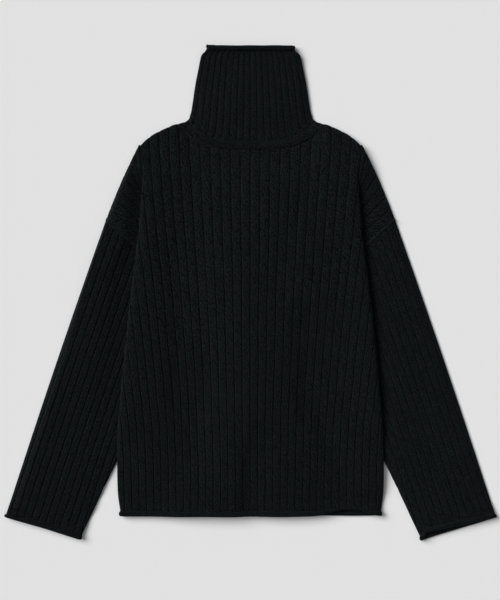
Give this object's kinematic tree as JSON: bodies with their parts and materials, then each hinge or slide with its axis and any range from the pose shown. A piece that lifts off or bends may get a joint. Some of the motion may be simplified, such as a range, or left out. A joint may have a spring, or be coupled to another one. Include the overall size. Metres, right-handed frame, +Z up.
{
  "type": "double-breasted cardigan laid flat",
  "caption": "Wide-rib knitted double-breasted cardigan with a high funnel collar, dropped shoulders and rolled edges, laid flat face down.",
  "frame": {"origin": "on the surface it lies on, under the middle of its bounding box", "axes": "+X to the wearer's right, +Y to the neck, +Z up out of the surface, which the garment lies on face down"},
  "size_m": [0.747, 0.757, 0.0187],
  "materials": {
    "rib_knit": "matt near-black wool in a wide flat rib",
    "neckband_knit": "matt near-black wool, plain linked strip",
    "button": "near-black button with a soft sheen"
  },
  "bodies": {
    "root": {"front_right": "rib_knit", "front_left": "rib_knit", "back": "rib_knit", "sleeve_right": "rib_knit", "sleeve_left": "rib_knit", "collar": "rib_knit", "neckband": "neckband_knit", "button_1_1": "button", "button_1_2": "button", "button_2_1": "button", "button_2_2": "button", "button_3_1": "button", "button_3_2": "button", "button_4_1": "button", "button_4_2": "button"}
  },
  "joints": []
}
